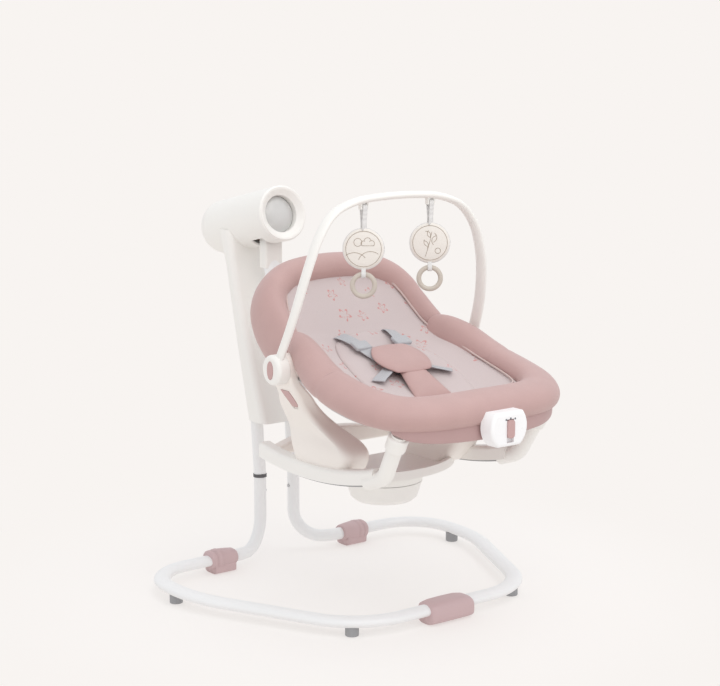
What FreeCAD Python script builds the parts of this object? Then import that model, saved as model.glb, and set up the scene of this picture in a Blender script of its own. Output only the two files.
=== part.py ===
"""Baby swing: a floor frame with a leaning mast and a drive pod, a swinging arm
with a turntable, and a lift-off rocker that carries a padded, reclining seat
and a toy bar.

Millimetres. +Z is up, the child faces -Y, +X is to the right seen from the
front. The origin is on the floor, in the middle of the whole object's plan.
Pieces are drawn on a working frame whose Y = 0 is the line through the two
side feet, and are moved to the origin when they are written.
"""
import FreeCAD, Part
import math
import os

V = FreeCAD.Vector
X_AXIS = V(1, 0, 0)
Y_AXIS = V(0, 1, 0)
Z_AXIS = V(0, 0, 1)

# ---- clearances -----------------------------------------------------------
RUN = 0.05            # radial clearance of a shaft or pin that turns
SLIDE = 0.35          # gap round a button in its hole

# ---- floor frame ----------------------------------------------------------
LOOP_W = 32.0         # width of the oval floor tube
LOOP_H = 20.0         # height of the oval floor tube
LOOP_Z = 25.0         # height of the floor tube's centre line
WALL = 1.5            # wall of every steel tube
FRONT_BAR_Y = -369.0
FRONT_CORNER_X = 188.0
SIDE_BREAK = (334.0, -60.0)
REAR_CORNER = (326.0, 112.0)
REAR_BAR_Y = 112.0
TUBE_JOIN_X = 158.0   # where the floor tube meets the rear tubes, inside a clip
REAR_BEND = 95.0      # bend radii of the floor tube
SIDE_BEND = 280.0
FRONT_BEND = 140.0
POST_X = 40.0
POST_Y = 149.0
POST_R = 12.0
POST_BEND = 58.0
JOINT_Z = 167.0       # where each post is split for packing
POST_LEAN = 5.0       # lean of the upper posts, degrees
POST_RISE = 215.0     # length of the upper posts
COLLAR_H = 6.0
COLLAR_T = 1.2
SNAP_R = 3.0
SNAP_Z = 132.0
SNAP_STAND = 1.6
FOOT_R = 12.0
FRONT_FOOT = (184.0, -337.0)
SIDE_FOOT = (328.0, 0.0)
CLIP_T = 5.0          # wall of the foot clips round the tube
CLIP_GROUND = 1.0
REAR_CLIP_X = (129.0, 187.0)
FRONT_CLIP_X = 48.0

# ---- mast -----------------------------------------------------------------
MAST_HALF = 56.0
MAST_WALL = 3.0
MAST_FRONT = [(110.0, 273.0), (195.0, 507.0), (215.0, 580.0), (226.0, 640.0)]
MAST_BACK = [(268.0, 640.0), (243.0, 568.0), (228.0, 503.0), (205.0, 407.0), (170.0, 273.0)]
MAST_SPLIT = [(141.0, 260.0), (211.0, 507.0), (229.0, 580.0), (247.0, 650.0)]
SPINE_HALF = 24.0
SPINE_T = 12.0
SPINE_Z = (300.0, 610.0)
SOCKET_R = 5.5
SOCKET_Z = 287.0

# ---- drive pod (drawn along its own axis, then tilted) --------------------
POD_FRONT = V(0, 122, 678)
POD_TILT = 12.5
POD_R = 53.6
POD_WALL = 3.0
POD_SEAM = 183.0
POD_LENGTH = 240.0
BEZEL_L = 8.0
BEZEL_R = 43.0
SHAFT_R = 6.0
BEARING_R = 11.0
BEARING_L = 9.0
BEARING_AT = (92.0, 150.0)
PUSH_R = 8.0
PUSH_X = 15.0

# ---- swing arm ------------------------------------------------------------
SWING = 10.0          # swing to each side, degrees
BLOCK_HALF = 20.0
BLOCK_Y = (150.0, 175.0)
BLOCK_BOTTOM = 570.0
ARM_W = 38.0
ARM_H = 24.0
ARM_WALL = 2.5
ARM_PATH = [(163.0, 585.0), (76.0, 345.0), (66.0, 201.0), (-162.0, 201.0)]

# ---- turntable and bowl ---------------------------------------------------
BOWL_Y = -192.0
BOWL_TOP_R = 70.0
BOWL_LOW_R = 61.0
BOWL_Z = (183.0, 219.0)
BOWL_WALL = 3.0
BOSS_R = 30.0
PIVOT_R = 12.0
TABLE_R = 70.0
TABLE_Z = (220.0, 240.0)
TABLE_DEEP = 12.0     # how deep the rocker's spigot sits in the turntable

# ---- rocker ---------------------------------------------------------------
RUNNER_X = 150.0
RUNNER_W = 28.0
RUNNER_H = 26.0
ROCK_R = 780.0
ROCK_Y = -164.0
ROCK_Z = 242.0        # lowest point of a runner, above its strip
RUNNER_Y = (-366.0, -30.0)
STRIP_T = 3.0
STRIP_W = 16.0
STRIP_Y = (-345.0, -70.0)
TRAY_R = 185.0        # radius of the tray's front edge
TRAY_Y = (-290.0, -118.0)
TRAY_Z = (240.0, 256.0)
TRAY_LIP = 8.0        # width of the raised front lip
TRAY_FLOOR = 6.0
BEAM_Y = (-46.0, -20.0)
BEAM_Z = (254.0, 266.0, 290.0)
LEG_R = 14.0
LEG_PATH = [(152.0, -340.0, 266.0), (152.0, -386.0, 282.0), (160.0, -436.0, 368.0)]
CUFF_R = 18.0

# ---- uprights and their pivot --------------------------------------------
HUB = V(0, -170, 443)
HUB_IN = 188.0        # inner face of the upright's boss
HUB_OUT = 210.0       # outer face of the upright's boss
HUB_R = 27.0
BAR_HUB_T = 24.0
UPRIGHT = [  # height, middle x, width, front y, back y
    (246.0, 120.0, 62.0, -246.0, -130.0),
    (322.0, 126.0, 52.0, -238.0, -101.0),
    (345.0, 138.0, 44.0, -196.0, -100.0),
    (372.0, 157.0, 38.0, -184.0, -108.0),
    (400.0, 180.0, 30.0, -192.0, -128.0),
    (424.0, 199.0, 21.0, -196.0, -138.0),
    (443.0, 199.0, 21.0, -194.0, -146.0),
]
TAB_W = 24.0
TAB_H = 36.0
TAB_AT = V(0, -160, 384)
TAB_TRAVEL = 3.0

# ---- seat -----------------------------------------------------------------
RIM_W = 72.0          # width and height of the padded seat rim
RIM_H = 52.0
BACK_W = 40.0         # width and height of the padded head rim
BACK_H = 74.0
BAR_ROOM = 16.0       # space left round a toy bar hub in the seat rim
FRAME_R = 6.0
BACK_RIM = [(176.0, -142.0, 468.0), (168.0, -105.0, 492.0), (146.0, -52.0, 528.0),
            (92.0, -18.0, 564.0), (30.0, -12.0, 576.0)]
SEAT_RIM = [(176.0, -190.0, 441.0), (196.0, -240.0, 425.0), (211.0, -300.0, 404.0),
            (202.0, -380.0, 386.0), (152.0, -442.0, 374.0), (80.0, -474.0, 366.0),
            (26.0, -482.0, 364.0)]
BACK_SLAB = [(-38.0, 566.0), (-176.0, 446.0), (-184.0, 434.0), (-30.0, 552.0)]
SEAT_SLING = [(-196.0, 440.0), (-250.0, 404.0), (-330.0, 380.0), (-462.0, 384.0),
              (-462.0, 370.0), (-330.0, 352.0), (-270.0, 352.0), (-204.0, 424.0)]
SLAB_HALF = 128.0
SLING_HALF = 172.0
STRAP_W = 25.0
STRAP_T = 2.0

# ---- control unit at the foot end ----------------------------------------
UNIT_Y = (-530.0, -500.0)
UNIT_Z = 372.0
UNIT_R = 40.0
KNOB_W = 15.0
KNOB_H = 31.0
KNOB_TRAVEL = 7.0

# ---- toy bar and toys -----------------------------------------------------
BAR_DEEP = 26.0
BAR_THIN = 13.0
BAR_PATH = [(222.0, -176.0, 455.0), (213.0, -210.0, 535.0), (199.0, -228.0, 612.0),
            (178.0, -234.0, 674.0), (146.0, -231.0, 716.0), (92.0, -228.0, 734.0),
            (30.0, -227.0, 738.0)]
TOY_X = 75.0
TOY_Y = -228.0
TOY_PIN_Z = 722.0
TOY_PIN_R = 2.0
DISC_Z = 649.0
DISC_R = 36.0
DISC_T = 9.0
RING_Z = 585.0
RING_R = 19.5
RING_T = 4.4


# ---- small building functions --------------------------------------------
def box(x0, x1, y0, y1, z0, z1):
    """A box between two corners."""
    return Part.makeBox(x1 - x0, y1 - y0, z1 - z0, V(x0, y0, z0))


def cyl(base, axis, radius, length):
    return Part.makeCylinder(radius, length, base, axis)


def pipe(base, axis, outer, inner, length):
    """A straight tube."""
    return cyl(base, axis, outer, length).cut(cyl(base, axis, inner, length))


def mirrored(shape):
    """The same piece on the other side of the swing."""
    return shape.mirror(V(0, 0, 0), X_AXIS)


def polygon(points):
    return Part.Face(Part.makePolygon(points + [points[0]]))


def slab_x(outline, x0, x1):
    """An outline in the YZ plane, made solid from x0 to x1."""
    face = polygon([V(x0, y, z) for y, z in outline])
    return face.extrude(V(x1 - x0, 0, 0))


def turned(outline, axis):
    """A radius and height outline, turned about the local Z or Y axis."""
    if axis is Y_AXIS:
        points = [V(r, h, 0) for r, h in outline]
    else:
        points = [V(r, 0, h) for r, h in outline]
    return polygon(points).revolve(V(0, 0, 0), axis, 360)


def softened(shape, radius, pick):
    """Rounds the edges that pick() chooses."""
    edges = [edge for edge in shape.Edges if pick(edge)]
    return shape.makeFillet(radius, edges)


def runs_along(edge, axis):
    """True for a straight edge along an axis."""
    if not isinstance(edge.Curve, Part.Line):
        return False
    return abs(abs(edge.Curve.Direction.dot(axis)) - 1) < 1e-6


def bent_wire(points, radii=None):
    """Straight runs joined by tangent arcs, as a bent tube's centre line."""
    edges = []
    start = points[0]
    for i in range(1, len(points) - 1):
        here = points[i]
        back = points[i - 1] - here
        ahead = points[i + 1] - here
        half_turn = (math.pi - back.getAngle(ahead)) / 2
        if radii is None:
            radius = 0.48 * min(back.Length, ahead.Length) / math.tan(half_turn)
        else:
            radius = radii[i - 1]
        reach = radius * math.tan(half_turn)
        arc_in = here + V(back).normalize() * reach
        arc_out = here + V(ahead).normalize() * reach
        inward = (V(back).normalize() + V(ahead).normalize()).normalize()
        middle = here + inward * (radius / math.cos(half_turn) - radius)
        if (arc_in - start).Length > 1e-3:
            edges.append(Part.LineSegment(start, arc_in).toShape())
        edges.append(Part.Arc(arc_in, middle, arc_out).toShape())
        start = arc_out
    edges.append(Part.LineSegment(start, points[-1]).toShape())
    return Part.Wire(edges)


def oval(at, along, wide_axis, wide, high):
    """An oval section standing square to a run; wide_axis is its long axis."""
    if abs(wide - high) < 1e-6:
        return Part.Wire(Part.Circle(at, along, wide / 2).toShape())
    long_axis = V(wide_axis) - V(along).normalize() * V(wide_axis).dot(V(along).normalize())
    long_axis.normalize()
    short_axis = V(along).cross(long_axis).normalize()
    if wide > high:
        ellipse = Part.Ellipse(at + long_axis * wide / 2, at + short_axis * high / 2, at)
    else:
        ellipse = Part.Ellipse(at + short_axis * high / 2, at + long_axis * wide / 2, at)
    return Part.Wire(ellipse.toShape())


def swept(wire, wide, high, wide_axis):
    """A solid bar of oval or round section along a bent wire."""
    first = wire.Edges[0]
    at = first.valueAt(first.FirstParameter)
    along = first.tangentAt(first.FirstParameter)
    section = oval(at, along, wide_axis, wide, high)
    if abs(wide - high) < 1e-6:
        return wire.makePipeShell([section], True, False)
    maker = Part.BRepOffsetAPI.MakePipeShell(wire)
    maker.setBiNormalMode(V(wide_axis))
    maker.add(section)
    maker.build()
    maker.makeSolid()
    return maker.shape()


def whole(half):
    """A right half path and its mirror image, from right to left."""
    return [V(*p) for p in half] + [V(-x, y, z) for x, y, z in reversed(half)]


def one(shape):
    """The largest solid of a shape, with its seams cleaned away."""
    solid = max(shape.Solids, key=lambda s: s.Volume)
    return solid.removeSplitter()


def pair(solid):
    """A piece and its mirror image, as separate solids of one node."""
    return Part.makeCompound([solid, mirrored(solid)])


# ---- floor frame ----------------------------------------------------------
def post_top(length):
    """A point on the right upper post's centre line."""
    lean = math.radians(POST_LEAN)
    return V(POST_X, POST_Y + length * math.sin(lean), JOINT_Z + length * math.cos(lean))


def floor_bar(inset):
    """The oval floor tube's solid form, or its bore with an inset."""
    corners = ((FRONT_CORNER_X, FRONT_BAR_Y), SIDE_BREAK, REAR_CORNER, (TUBE_JOIN_X, REAR_BAR_Y))
    level = [V(x, y, LOOP_Z) for x, y in corners]
    left = [V(-p.x, p.y, p.z) for p in reversed(level)]
    bends = [REAR_BEND, SIDE_BEND, FRONT_BEND, FRONT_BEND, SIDE_BEND, REAR_BEND]
    return swept(bent_wire(left + level, bends), LOOP_H - 2 * inset, LOOP_W - 2 * inset, Z_AXIS)


def lower_post_bar(inset):
    """The right rear tube, from the floor tube's end up to the joint."""
    path = [V(TUBE_JOIN_X, REAR_BAR_Y, LOOP_Z), V(POST_X + 64, REAR_BAR_Y, LOOP_Z),
            V(POST_X, POST_Y, LOOP_Z), V(POST_X, POST_Y, JOINT_Z)]
    return swept(bent_wire(path, [60, POST_BEND]), 2 * (POST_R - inset), 2 * (POST_R - inset), Z_AXIS)


def snap_button():
    """The sprung button on the inner side of the right lower post."""
    start = V(POST_X - POST_R - SNAP_STAND, POST_Y, SNAP_Z)
    return cyl(start, X_AXIS, SNAP_R, SNAP_STAND + 6)


def floor_loop():
    return one(floor_bar(0).cut(floor_bar(WALL)))


def lower_post():
    hole = cyl(V(POST_X - POST_R - 2, POST_Y, SNAP_Z), X_AXIS, SNAP_R + SLIDE, 6)
    return one(lower_post_bar(0).cut([lower_post_bar(WALL), hole]))


def upper_posts():
    axis = post_top(POST_RISE) - post_top(0)
    tube = pipe(post_top(0), axis, POST_R, POST_R - WALL, POST_RISE)
    return tube.common(box(-99, 99, 0, 400, JOINT_Z, 999))


def post_collar():
    base = V(POST_X, POST_Y, JOINT_Z - COLLAR_H)
    return pipe(base, Z_AXIS, POST_R + COLLAR_T, POST_R, COLLAR_H)


def rubber_feet(bar):
    feet = []
    for x, y in (FRONT_FOOT, SIDE_FOOT):
        foot = cyl(V(x, y, 0), Z_AXIS, FOOT_R, LOOP_Z - LOOP_H / 2 + 4)
        foot = one(foot.cut(bar).common(box(x - 20, x + 20, y - 20, y + 20, 0, LOOP_Z - 4)))
        foot = softened(foot, 1.5, lambda edge: edge.BoundBox.ZMax < 0.01)
        feet += [foot, mirrored(foot)]
    return Part.makeCompound(feet)


def foot_clip(x0, x1, y, flare):
    """A clip that wraps the tube and stands a little above the floor."""
    half = LOOP_W / 2 + CLIP_T
    top = LOOP_Z + LOOP_H / 2 + CLIP_T
    outline = [(y - half - flare, CLIP_GROUND), (y + half + flare, CLIP_GROUND),
               (y + half, top - 8), (y + half - 9, top), (y - half + 9, top), (y - half, top - 8)]
    return slab_x(outline, x0, x1)


def rear_clip(bars):
    block = foot_clip(REAR_CLIP_X[0], REAR_CLIP_X[1], REAR_BAR_Y, 3)
    block = softened(block, 3, lambda edge: not runs_along(edge, X_AXIS) and edge.BoundBox.ZMax > 5)
    return one(block.cut(bars))


def front_clip(bar):
    block = foot_clip(-FRONT_CLIP_X, FRONT_CLIP_X, FRONT_BAR_Y, 5)
    block = softened(block, 3, lambda edge: not runs_along(edge, X_AXIS) and edge.BoundBox.ZMax > 5)
    return one(block.cut(bar))


# ---- mast -----------------------------------------------------------------
def mast_solid(inset):
    """The mast's outer form, or its inside with an inset."""
    outline = list(MAST_FRONT) + list(MAST_BACK)
    if inset:
        outline = [(y + inset, z) for y, z in MAST_FRONT] + [(y - inset, z) for y, z in MAST_BACK]
        outline[0] = (outline[0][0] + 1, outline[0][1] + inset)
        outline[-1] = (outline[-1][0] + 1, outline[-1][1] + inset)
    solid = slab_x(outline, -MAST_HALF + inset, MAST_HALF - inset)
    return softened(solid, 13 - inset, lambda edge: abs(edge.CenterOfMass.x) > 40
                    and edge.BoundBox.ZLength > 30)


def pod_place(shape):
    """Tilts a piece drawn along +Y onto the pod's axis."""
    placed = shape.copy()
    placed.rotate(V(0, 0, 0), X_AXIS, -POD_TILT)
    placed.translate(POD_FRONT)
    return placed


def mast_shell():
    shell = mast_solid(0).cut(mast_solid(MAST_WALL))
    axis = post_top(POST_RISE) - post_top(0)
    hole = cyl(post_top(0), axis, POST_R + 0.3, POST_RISE)
    pod = pod_place(cyl(V(0, 0, 0), Y_AXIS, POD_R, POD_SEAM))
    return shell.cut([hole, mirrored(hole), pod])


def mast_covers():
    """The front and the rear cover, parted along the mast's sides."""
    shell = mast_shell()
    ahead = MAST_SPLIT + [(0.0, 650.0), (0.0, 260.0)]
    front_zone = slab_x(ahead, -99, 99)
    front = one(shell.common(front_zone))
    rear = one(shell.cut(front_zone))
    socket = cyl(V(0, 120, SOCKET_Z), Y_AXIS, SOCKET_R, 90)
    return front, one(rear.cut(socket))


def mast_spine():
    """The steel box section that joins the posts to the pod."""
    (y0, z0), (y1, z1) = MAST_SPLIT[0], MAST_SPLIT[2]
    slope = (y1 - y0) / (z1 - z0)
    ends = [(y0 + slope * (z - z0) + 4, z) for z in SPINE_Z]
    outline = [(ends[0][0] - SPINE_T / 2, ends[0][1]), (ends[0][0] + SPINE_T / 2, ends[0][1]),
               (ends[1][0] + SPINE_T / 2, ends[1][1]), (ends[1][0] - SPINE_T / 2, ends[1][1])]
    core = [(ends[0][0] - SPINE_T / 2 + 2, ends[0][1]), (ends[0][0] + SPINE_T / 2 - 2, ends[0][1]),
            (ends[1][0] + SPINE_T / 2 - 2, ends[1][1]), (ends[1][0] - SPINE_T / 2 + 2, ends[1][1])]
    bar = slab_x(outline, -SPINE_HALF, SPINE_HALF)
    pod = pod_place(cyl(V(0, 0, 0), Y_AXIS, POD_R, POD_SEAM))
    return one(bar.cut([slab_x(core, -SPINE_HALF + 2, SPINE_HALF - 2), pod]))


def power_socket():
    at = V(0, 158, SOCKET_Z)
    body = cyl(at, Y_AXIS, SOCKET_R, 24)
    return body.cut(cyl(at + V(0, 9, 0), Y_AXIS, 3.2, 20))


# ---- drive pod ------------------------------------------------------------
def pod_barrel():
    tube = pipe(V(0, BEZEL_L, 0), Y_AXIS, POD_R, POD_R - POD_WALL, POD_SEAM - BEZEL_L)
    webs = [pipe(V(0, y, 0), Y_AXIS, POD_R - 1, BEARING_R, BEARING_L) for y in BEARING_AT]
    barrel = pod_place(tube.fuse(webs))
    reach = BLOCK_HALF + POD_R * math.sin(math.radians(SWING)) + 4
    slot = box(-reach, reach, BLOCK_Y[0] - 6, BLOCK_Y[1] + 6, BLOCK_BOTTOM, 660)
    return one(barrel.cut(slot))


def bezel_ring():
    outline = [(POD_R, 0), (POD_R, BEZEL_L), (BEZEL_R - 4, BEZEL_L), (BEZEL_R - 4, BEZEL_L + 10),
               (BEZEL_R - 7, BEZEL_L + 10), (BEZEL_R - 7, BEZEL_L - 2), (BEZEL_R + 4, -2),
               (POD_R - 3, -3)]
    return pod_place(turned(outline, Y_AXIS))


def lens_dome():
    """A shallow clear dome set back inside the bezel."""
    ball = 62.0
    front = 7.0
    shell = Part.makeSphere(ball, V(0, front + ball, 0)).cut(
        Part.makeSphere(ball - 2, V(0, front + ball, 0)))
    keep = cyl(V(0, 0, 0), Y_AXIS, BEZEL_R - 7.1, 40)
    return pod_place(one(shell.common(keep)))


def cap_outline(inset):
    """Half outline of the rear cap, with a flat end for the buttons."""
    r = POD_R - inset
    end = POD_LENGTH - inset
    return [(0, POD_SEAM), (r, POD_SEAM), (r, POD_SEAM + 18), (r - 4, POD_SEAM + 32),
            (r - 12, POD_SEAM + 45), (r - 21, end), (0, end)]


def pod_rear_cap():
    cap = turned(cap_outline(0), Y_AXIS).cut(turned(cap_outline(POD_WALL), Y_AXIS))
    holes = [cyl(V(x, POD_LENGTH - 20, 0), Y_AXIS, PUSH_R + SLIDE, 40) for x in (-PUSH_X, PUSH_X)]
    return pod_place(one(cap.cut(holes)))


def push_button(x):
    cap = cyl(V(x, POD_LENGTH - 8, 0), Y_AXIS, PUSH_R, 10.5)
    cap = softened(cap, 1.2, lambda edge: edge.BoundBox.YMin > POD_LENGTH)
    return pod_place(cap.fuse(cyl(V(x, POD_LENGTH - 10, 0), Y_AXIS, PUSH_R + 2, 3)))


def shaft_bearings():
    rings = [pipe(V(0, y, 0), Y_AXIS, BEARING_R, SHAFT_R + RUN, BEARING_L) for y in BEARING_AT]
    return pod_place(Part.makeCompound(rings))


def swing_shaft():
    return pod_place(cyl(V(0, 28, 0), Y_AXIS, SHAFT_R, BEARING_AT[1] + BEARING_L + 6 - 28))


def drive_coil():
    coil = pipe(V(0, BEARING_AT[0] - 9, -30), Y_AXIS, 11, 5, 9)
    return pod_place(coil)


# ---- swing arm ------------------------------------------------------------
def arm_block():
    """The clamp on the shaft, with the neck that comes out of the pod."""
    top = POD_FRONT.z - (BLOCK_Y[1] - POD_FRONT.y) * math.tan(math.radians(POD_TILT))
    neck = box(-BLOCK_HALF, BLOCK_HALF, BLOCK_Y[0], BLOCK_Y[1], BLOCK_BOTTOM, top)
    neck = softened(neck, 5, lambda edge: runs_along(edge, Z_AXIS))
    hub = pod_place(cyl(V(0, 34, 0), Y_AXIS, 20, 24))
    return one(neck.fuse(hub).cut(swing_shaft()))


def arm_wire():
    return bent_wire([V(0, y, z) for y, z in ARM_PATH], [160, 60])


def arm_bar(grow):
    """The arm's solid form; its wide side lies across the swing."""
    return swept(arm_wire(), ARM_W + 2 * grow, ARM_H + 2 * grow, X_AXIS)


def drive_magnet():
    magnet = cyl(V(0, BEARING_AT[0] - 22, -30), Y_AXIS, 10, 10)
    return pod_place(magnet)


def bowl_hub():
    """The bowl on the arm's end, with the boss that the turntable turns in."""
    low, high = BOWL_Z
    outer = [(0, low), (BOWL_LOW_R - 8, low), (BOWL_LOW_R, low + 7), (BOWL_TOP_R, high), (0, high)]
    inner = [(0, low + BOWL_WALL), (BOWL_LOW_R - 9, low + BOWL_WALL),
             (BOWL_LOW_R - 3, low + 9), (BOWL_TOP_R - BOWL_WALL, high), (0, high)]
    shell = turned(outer, Z_AXIS).cut(turned(inner, Z_AXIS))
    boss = pipe(V(0, 0, low + 1), Z_AXIS, BOSS_R, PIVOT_R + RUN, high - low - 1)
    hub = shell.fuse(boss)
    hub.translate(V(0, BOWL_Y, 0))
    return one(hub.cut(arm_bar(0)))


def turntable():
    """The ring that the rocker drops onto; its pin turns in the bowl."""
    low, high = TABLE_Z
    outline = [(0, low), (TABLE_R, low), (TABLE_R, high), (0, high)]
    pin = cyl(V(0, 0, BOWL_Z[0] + 8), Z_AXIS, PIVOT_R, low - BOWL_Z[0] - 7)
    well = cyl(V(0, 0, high - TABLE_DEEP - SLIDE), Z_AXIS, TABLE_R - 9 + SLIDE, TABLE_DEEP + 1)
    core = cyl(V(0, 0, low), Z_AXIS, BOSS_R - SLIDE, high - low)
    table = turned(outline, Z_AXIS).cut(well).fuse([pin, core])
    table.translate(V(0, BOWL_Y, 0))
    return one(table)


# ---- rocker ---------------------------------------------------------------
def rocker_band(radius, height, y0, y1, x0, x1):
    """A curved band in side view, bent about the rocker's centre."""
    centre_z = ROCK_Z + ROCK_R

    def ring_point(r, y):
        return V(x0, y, centre_z - math.sqrt(r * r - (y - ROCK_Y) ** 2))

    middle = (y0 + y1) / 2
    inner = radius - height
    low = Part.Arc(ring_point(radius, y0), ring_point(radius, middle), ring_point(radius, y1))
    high = Part.Arc(ring_point(inner, y1), ring_point(inner, middle), ring_point(inner, y0))
    back = Part.LineSegment(ring_point(radius, y1), ring_point(inner, y1))
    front = Part.LineSegment(ring_point(inner, y0), ring_point(radius, y0))
    wire = Part.Wire([low.toShape(), back.toShape(), high.toShape(), front.toShape()])
    return Part.Face(wire).extrude(V(x1 - x0, 0, 0))


def runner():
    band = rocker_band(ROCK_R, RUNNER_H, RUNNER_Y[0], RUNNER_Y[1],
                       RUNNER_X - RUNNER_W / 2, RUNNER_X + RUNNER_W / 2)
    band = softened(band, 7, lambda edge: edge.BoundBox.YLength > 100 and edge.CenterOfMass.z > ROCK_Z + 14)
    return one(band)


def anti_slip_strip():
    return rocker_band(ROCK_R + STRIP_T, STRIP_T, STRIP_Y[0], STRIP_Y[1],
                       RUNNER_X - STRIP_W / 2, RUNNER_X + STRIP_W / 2)


def tray_plan(inset, low, high):
    """The tray's plan: a round front edge and a straight back edge."""
    radius = TRAY_R - inset
    middle = V(0, TRAY_Y[0] + TRAY_R, low)
    inside = RUNNER_X - RUNNER_W / 2
    disc = cyl(middle, Z_AXIS, radius, high - low)
    return disc.common(box(-inside, inside, -999, TRAY_Y[1], low, high))


def rocker_tray(others):
    """The tray that sits over the turntable, between the runners."""
    low, high = TRAY_Z
    tray = tray_plan(0, low, high).cut(tray_plan(TRAY_LIP, low + TRAY_FLOOR, high + 1))
    spigot = pipe(V(0, BOWL_Y, low - TABLE_DEEP), Z_AXIS, TABLE_R - 9, BOSS_R, TABLE_DEEP + 1)
    return one(tray.fuse(spigot).cut(others))


def rear_beam():
    """The cross member behind the uprights, crowned in the middle."""
    base, side, crown = BEAM_Z
    inside = RUNNER_X - RUNNER_W / 2
    arc = Part.Arc(V(inside, BEAM_Y[0], side), V(0, BEAM_Y[0], crown), V(-inside, BEAM_Y[0], side))
    lines = [V(-inside, BEAM_Y[0], side), V(-inside, BEAM_Y[0], base),
             V(inside, BEAM_Y[0], base), V(inside, BEAM_Y[0], side)]
    edges = [arc.toShape()] + [Part.LineSegment(a, b).toShape() for a, b in zip(lines, lines[1:])]
    beam = Part.Face(Part.Wire(edges)).extrude(V(0, BEAM_Y[1] - BEAM_Y[0], 0))
    return softened(beam, 5, lambda edge: edge.BoundBox.XLength > 100)


def upright_section(z, x, width, front, back):
    """A rounded rectangle across the upright at one height."""
    r = min(width, back - front) * 0.3
    x0, x1 = x - width / 2, x + width / 2
    corners = [(x0 + r, front + r, 180), (x1 - r, front + r, 270), (x1 - r, back - r, 0), (x0 + r, back - r, 90)]
    edges = []
    last = None
    for cx, cy, start in corners:
        points = [V(cx + r * math.cos(math.radians(start + turn)),
                    cy + r * math.sin(math.radians(start + turn)), z) for turn in (0, 45, 90)]
        if last is not None:
            edges.append(Part.LineSegment(last, points[0]).toShape())
        edges.append(Part.Arc(*points).toShape())
        last = points[-1]
    first = edges[0].valueAt(edges[0].FirstParameter)
    edges.append(Part.LineSegment(last, first).toShape())
    return Part.Wire(edges)


def release_tab(grow):
    """The pushed tab on the upright's outer side, or its pocket."""
    half_w, half_h = TAB_W / 2 + grow, TAB_H / 2 + grow
    y, z = TAB_AT.y, TAB_AT.z
    outline = [(y - half_w, z + half_h), (y + half_w, z + half_h), (y + half_w + 1, z + 6),
               (y + half_w - 6, z - half_h), (y - half_w + 7, z - half_h), (y - half_w - 1, z - half_h + 10)]
    return slab_x(outline, 176 - 2 * grow - (TAB_TRAVEL + 1 if grow else 0), 200 + 10 * grow)


def upright(runners):
    """A side upright with its boss, pivot pin and bar bore."""
    body = Part.makeLoft([upright_section(*row) for row in UPRIGHT], True, False)
    boss = cyl(HUB + V(HUB_IN, 0, 0), X_AXIS, HUB_R, HUB_OUT - HUB_IN)
    pin = cyl(HUB + V(HUB_IN - 16, 0, 0), X_AXIS, 6, 17)
    bore = cyl(HUB + V(HUB_OUT - 14, 0, 0), X_AXIS, 8 + RUN, 14)
    bar_room = cyl(HUB + V(HUB_OUT, 0, 0), X_AXIS, HUB_R + 3, 20)
    solid = body.fuse([boss, pin]).cut([bore, bar_room, release_tab(SLIDE)] + runners)
    return one(solid)


def tab_face():
    """Trims a tab so that its face follows the upright's outer side."""
    skin = Part.makeLoft([upright_section(z, x + 1.2, w, f - 6, b + 6) for z, x, w, f, b in UPRIGHT], True, False)
    return one(release_tab(0).common(skin))


def leg(others):
    """The front leg, from the runner's nose up to the seat rim."""
    points = [V(*p) for p in LEG_PATH]
    bar = swept(bent_wire(points, [40]), 2 * LEG_R, 2 * LEG_R, Z_AXIS)
    along = (points[2] - points[1]).normalize()
    cuff = cyl(points[2] - along * 34, along, CUFF_R, 30)
    cuff = softened(cuff, 4, lambda edge: True if isinstance(edge.Curve, Part.Circle) else False)
    return one(bar.fuse(cuff).cut(others))


# ---- seat -----------------------------------------------------------------
def rim_bar(half, wide, high):
    """A bar of upright oval section along a rim's path."""
    return swept(bent_wire(whole(half)), high, wide, Z_AXIS)


def seat_frame_bar(inset):
    """The steel U in the seat's rim; its ends reach the uprights."""
    inlet = (HUB_IN - 3, HUB.y - 18, HUB.z - 14)
    round_size = 2 * (FRAME_R - inset)
    return rim_bar([inlet] + SEAT_RIM[1:], round_size, round_size)


def seat_rim_pad(others):
    """The padded tube on the seat frame, open round the toy bar's hubs."""
    bar_room = cyl(HUB + V(HUB_OUT - 4, 0, 0), X_AXIS, HUB_R + BAR_ROOM, 60)
    cuts = [seat_frame_bar(0), bar_room, mirrored(bar_room)]
    return one(rim_bar(SEAT_RIM, RIM_W, RIM_H).cut(cuts + others))


def back_frame():
    """The steel hoop of the backrest, with an eye on each pivot pin."""
    ends = [(HUB_IN - 9, HUB.y + 8, HUB.z + 7)] + BACK_RIM[1:]
    hoop = rim_bar(ends, 2 * FRAME_R, 2 * FRAME_R)
    eye = cyl(HUB + V(HUB_IN - 14, 0, 0), X_AXIS, 12, 12)
    bore = cyl(HUB + V(HUB_IN - 20, 0, 0), X_AXIS, 6 + RUN, 22)
    return one(hoop.fuse([eye, mirrored(eye)]).cut([bore, mirrored(bore)]))


def back_rim_pad(hoop):
    return one(rim_bar(BACK_RIM, BACK_W, BACK_H).cut(hoop))


def back_liner(pad, hoop):
    return one(slab_x(BACK_SLAB, -SLAB_HALF, SLAB_HALF).cut([pad, hoop]))


def seat_liner(pad, frame, unit):
    return one(slab_x(SEAT_SLING, -SLING_HALF, SLING_HALF).cut([pad, frame, unit]))


def band(points, x, width, thick):
    """A flat strap in side view, through points on its lower face."""
    upper = [(y - thick * 0.3, z + thick) for y, z in reversed(points)]
    return slab_x(list(points) + upper, x - width / 2, x + width / 2)


def shoulder_strap():
    return band([(-126.0, 490.6), (-176.0, 474.0), (-206.0, 462.0)], 50, STRAP_W, STRAP_T)


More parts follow.
